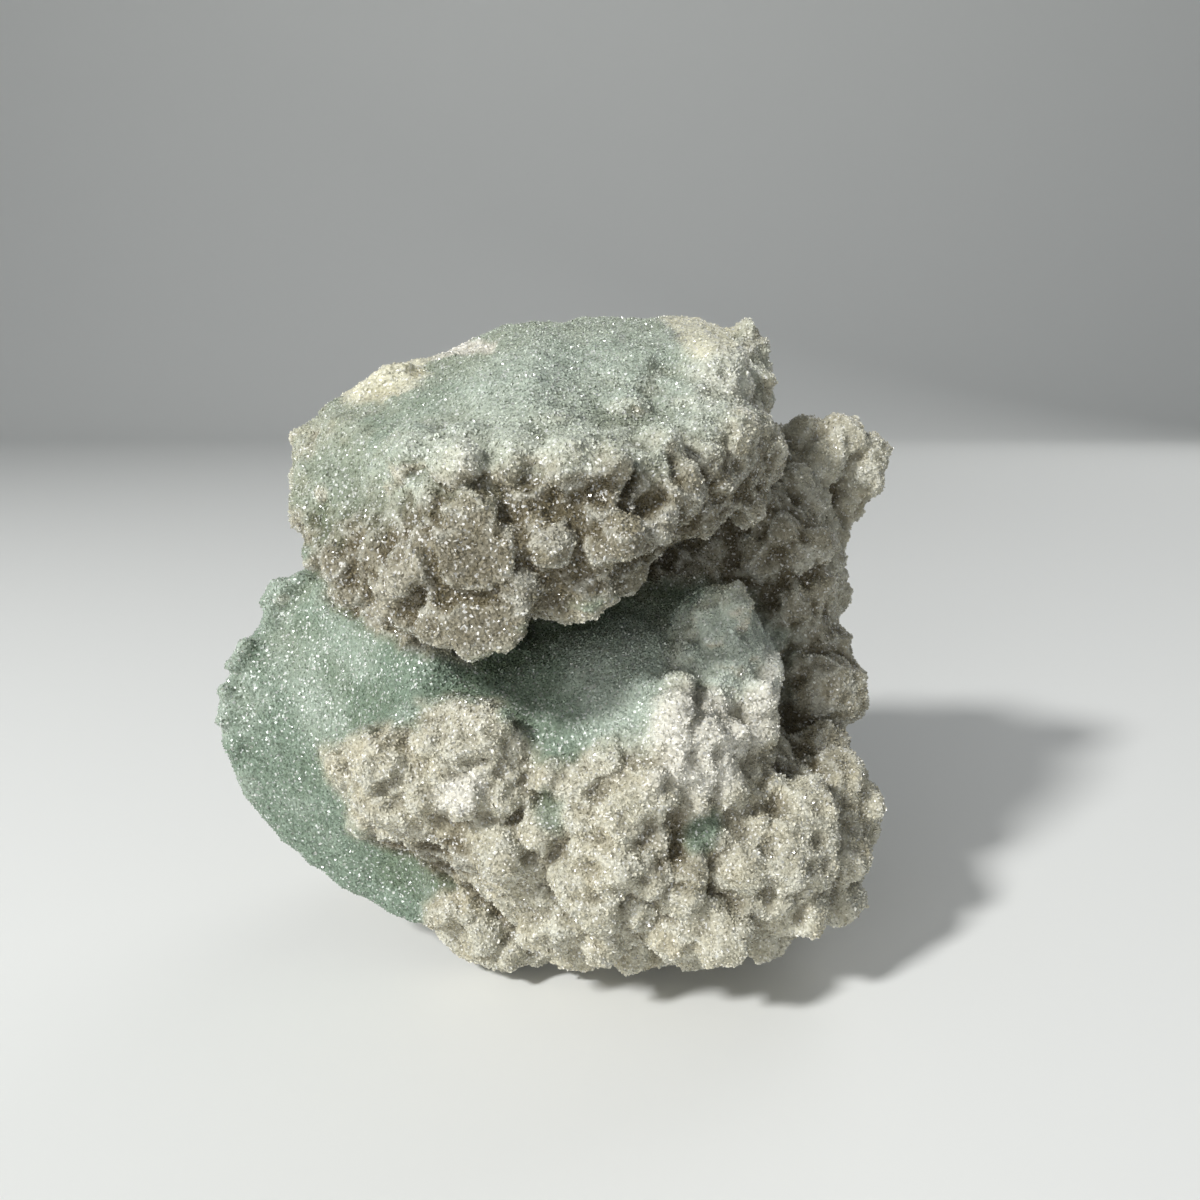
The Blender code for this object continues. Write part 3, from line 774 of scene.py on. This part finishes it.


# Attributes of the mesh say what grows where and where shade, sheen and light are painted, and each of the finest
# grains faces its own way
def druseMaterial(name, roughness, facet, glow):
    material = bpy.data.materials.new(name)
    material.use_nodes = True
    tree = material.node_tree
    surface = tree.nodes["Principled BSDF"]
    place = addNode(tree, "ShaderNodeTexCoord").outputs["Object"]

    deep = addNode(tree, "ShaderNodeAttribute", attribute_name="deep").outputs["Fac"]
    warmth = addNode(tree, "ShaderNodeTexNoise", {"Vector": place, "Scale": 1 / finish["honeyPatch"], "Detail": 3.0})
    warmth = addNode(
        tree, "ShaderNodeMapRange", {"Value": warmth.outputs["Fac"], "From Min": 0.48, "From Max": 0.72, "To Max": 0.6}
    ).outputs[0]
    colour = addNode(
        tree, "ShaderNodeMix", {0: warmth, 6: linear(finish["beige"]), 7: linear(finish["honey"])}, data_type="RGBA"
    ).outputs[2]
    # painted shade: deep places take the darker colour
    colour = addNode(
        tree, "ShaderNodeMix", {0: deep, 6: colour, 7: linear(finish["deepBeige"])}, data_type="RGBA"
    ).outputs[2]
    # painted sheen: the crests take the paler edge colour
    crest = addNode(tree, "ShaderNodeAttribute", attribute_name="crest").outputs["Fac"]
    crest = addNode(tree, "ShaderNodeMapRange", {"Value": crest, "To Max": finish["edgeSheenShare"]}).outputs[0]
    colour = addNode(
        tree, "ShaderNodeMix", {0: crest, 6: colour, 7: linear(finish["edge"])}, data_type="RGBA"
    ).outputs[2]
    for kind in ("green", "frost", "cream", "pearl"):
        share = addNode(tree, "ShaderNodeAttribute", attribute_name=kind).outputs["Fac"]
        # where deep, each kind takes its painted-shade colour
        shades = {0: deep, 6: linear(finish[kind]), 7: linear(finish["deep" + kind.capitalize()])}
        own = addNode(tree, "ShaderNodeMix", shades, data_type="RGBA").outputs[2]
        colour = addNode(tree, "ShaderNodeMix", {0: share, 6: colour, 7: own}, data_type="RGBA").outputs[2]

    grain = addNode(tree, "ShaderNodeTexVoronoi", {"Vector": place, "Scale": 1 / finish["grain"]}, feature="F1")
    lean = addNode(
        tree, "ShaderNodeVectorMath", {0: grain.outputs["Color"], 1: (0.5, 0.5, 0.5)}, operation="SUBTRACT"
    ).outputs[0]
    lean = addNode(tree, "ShaderNodeVectorMath", {0: lean, "Scale": facet}, operation="SCALE").outputs[0]
    outward = addNode(tree, "ShaderNodeNewGeometry").outputs["Normal"]
    normal = addNode(tree, "ShaderNodeVectorMath", {0: outward, 1: lean}, operation="ADD").outputs[0]
    normal = addNode(tree, "ShaderNodeVectorMath", {0: normal}, operation="NORMALIZE").outputs[0]
    tree.links.new(normal, surface.inputs["Normal"])

    chance = addNode(tree, "ShaderNodeSeparateColor", {0: grain.outputs["Color"]}).outputs
    shade = addNode(tree, "ShaderNodeMapRange", {"Value": chance[2], "To Min": 0.86, "To Max": 1.08}).outputs[0]
    tone = addNode(tree, "ShaderNodeAttribute", attribute_name="tone").outputs["Fac"]
    light = addNode(tree, "ShaderNodeMapRange", {"Value": tone, "To Min": 0.72, "To Max": 1.22}).outputs[0]
    shade = addNode(tree, "ShaderNodeMath", {0: shade, 1: light}, operation="MULTIPLY").outputs[0]
    grey = addNode(tree, "ShaderNodeCombineColor", {0: shade, 1: shade, 2: shade}).outputs[0]
    colour = addNode(
        tree, "ShaderNodeMix", {0: 1.0, 6: colour, 7: grey}, data_type="RGBA", blend_type="MULTIPLY"
    ).outputs[2]
    # painted glints: a few grains and crystals are painted near white
    for value, first, most in ((chance[1], 0.92, 0.6), (tone, 0.965, 0.42)):
        bright = addNode(
            tree, "ShaderNodeMapRange", {"Value": value, "From Min": first, "From Max": first + 0.03, "To Max": most}
        ).outputs[0]
        colour = addNode(
            tree, "ShaderNodeMix", {0: bright, 6: colour, 7: linear(finish["glint"])}, data_type="RGBA"
        ).outputs[2]
    tree.links.new(colour, surface.inputs["Base Color"])
    surface.inputs["Roughness"].default_value = roughness
    surface.inputs["IOR"].default_value = 1.5
    surface.inputs["Subsurface Weight"].default_value = glow
    surface.inputs["Subsurface Radius"].default_value = (1.0, 0.95, 0.8)
    surface.inputs["Subsurface Scale"].default_value = finish["depth"]
    return material


# The number of each place's zone, in the order of the list of zones
def zonesOf(points):
    x, y, z = points.T / mm
    y = y + 4 * noiseAt(points, 8 * mm, 61)  # so that no straight line shows where the spacing changes
    zone = np.where(y > 8, np.where(x < 0, 5, 6), np.where(x > 22, 4, np.where(x < -22, 2, 3)))
    return np.where((z > 58) & (y <= 8), np.where(z > 74, 0, 1), zone)


print("growing the crust")
specimen = buildCrust()
points, outward, green, cream, pearl = roughen(specimen)
print("crust triangles", sum(len(face.vertices) - 2 for face in specimen.data.polygons))

mesh = specimen.data
z = points[:, 2]
drusy = (1 - 0.75 * cream) * (1 - 0.5 * pearl) * (z > crust["restHeight"]) * np.where((outward[:, 2] < -0.5) & (z < 2 * mm), 0, 1)
writeFloat(mesh, "drusy", drusy)
writeFloat(mesh, "grain", 1.0 - 0.2 * green - 0.15 * cream)
centres = np.zeros(len(mesh.polygons) * 3, np.float32)
mesh.polygons.foreach_get("center", centres)
zones = mesh.attributes.new("zone", "INT", "FACE")
zones.data.foreach_set("value", zonesOf(centres.reshape(-1, 3)).astype(np.int32))

crustMaterial = druseMaterial("heulandite crust, sugary", 0.3, 1.2, 0.45)
crystalMaterial = druseMaterial("heulandite crystals, glassy", 0.14, 0.35, 0.25)
shapes = crystalShapes()
tree = druseTree([shapes[name] for name in ("chisel", "wedge", "point")])
pieces = [specimen]
total = 0
for number, (name, spacing) in enumerate(druseZones.items()):
    piece = newObject("druse_" + name, specimen.data.copy())
    values = {**druse, "Zone": number, "Spacing": spacing, "Material": crystalMaterial}
    values["Seed"] = druse["Seed"] + number
    grow(piece, tree, values)
    piece.data.shade_flat()
    count = sum(len(face.vertices) - 2 for face in piece.data.polygons)
    total += count
    print(piece.name, "triangles", count)
    pieces.append(piece)
piece = newObject("heulandite_blades", specimen.data.copy())
ridged = drusy * (1 - green) * (1 - cream) * (0.25 + 0.75 * readFloat(mesh, "crest"))
writeFloat(piece.data, "drusy", ridged)
piece.data.attributes["zone"].data.foreach_set("value", np.zeros(len(piece.data.polygons), np.int32))
bladeTree = druseTree([shapes[name] for name in ("blade", "leaning blade")])
grow(piece, bladeTree, {**blades, "Zone": 0, "Material": crystalMaterial})
piece.data.shade_flat()
count = sum(len(face.vertices) - 2 for face in piece.data.polygons)
print(piece.name, "triangles", count)
pieces.append(piece)
print("crystal triangles in all", total + count)
for shape in shapes.values():
    bpy.data.objects.remove(shape)

mesh.materials.clear()
mesh.materials.append(crustMaterial)
mesh.shade_smooth()

for piece in pieces:
    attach(piece, "root")
    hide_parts("heulandite_specimen")

# A plain pale sweep, and soft light from high up at the front left
studio = {
    "board": "#e4e5e2",
    "frontEdge": -2.5,
    "bend": 1.3,  # where the sweep starts to turn up
    "bendRadius": 0.7,
    "height": 2.6,
    "width": 7.0,
    "keyPlace": (-0.68, -0.70, 0.78),
    "keySize": 0.16,
    "keyPower": 16.4,
    "fillPlace": (-0.45, -1.0, 0.15),
    "fillSize": 0.7,
    "fillPower": 5.4,
    "backPlace": (0.7, 1.0, 0.75),
    "backSize": 0.9,
    "backPower": 3.6,
    "sky": "#e4e9ee",
    "skyStrength": 0.24,
}


def addSweep():
    steps = 24
    profile = [(studio["frontEdge"], 0.0)]
    for step in range(steps + 1):
        angle = math.pi / 2 * step / steps
        radius = studio["bendRadius"]
        profile.append((studio["bend"] + radius * math.sin(angle), radius * (1 - math.cos(angle))))
    profile.append((studio["bend"] + studio["bendRadius"], studio["height"]))
    bm = bmesh.new()
    rows = [[bm.verts.new((side * studio["width"] / 2, y, z)) for y, z in profile] for side in (-1, 1)]
    for i in range(len(profile) - 1):
        bm.faces.new((rows[0][i], rows[1][i], rows[1][i + 1], rows[0][i + 1]))
    sweep = newObject("sweep", meshFrom(bm, "sweep"))
    sweep.data.shade_smooth()
    board = bpy.data.materials.new("matt painted board")  # even and pale, with no gloss of its own
    board.use_nodes = True
    board.node_tree.nodes["Principled BSDF"].inputs["Base Color"].default_value = linear(studio["board"])
    board.node_tree.nodes["Principled BSDF"].inputs["Roughness"].default_value = 0.6
    sweep.data.materials.append(board)


def addLamp(name):
    light = bpy.data.lights.new(name, "AREA")
    light.shape, light.size, light.energy = "DISK", studio[name + "Size"], studio[name + "Power"]
    lamp = newObject(name, light)
    lamp.location = studio[name + "Place"]
    lamp.rotation_euler = (Vector((0, 0, 0.045)) - lamp.location).to_track_quat("-Z", "Y").to_euler()


print("setting the light")
addSweep()
addLamp("key")
addLamp("fill")
addLamp("back")
world = bpy.data.worlds.new("soft sky")
world.use_nodes = True
world.node_tree.nodes["Background"].inputs["Color"].default_value = linear(studio["sky"])
world.node_tree.nodes["Background"].inputs["Strength"].default_value = studio["skyStrength"]
bpy.context.scene.world = world
bpy.context.scene.view_settings.view_transform = "Standard"

camera = bpy.data.cameras.new("camera")
camera.lens, camera.sensor_width, camera.clip_start = view["lens"], view["sensor"], 0.01
cameraObject = newObject("camera", camera)
cameraObject.location = eye
cameraObject.rotation_euler = Euler((math.pi / 2 - pitch, 0, 0))
bpy.context.scene.camera = cameraObject

print("cad box mm", [[round(v * 1000, 2) for v in c] for c in cadBox])
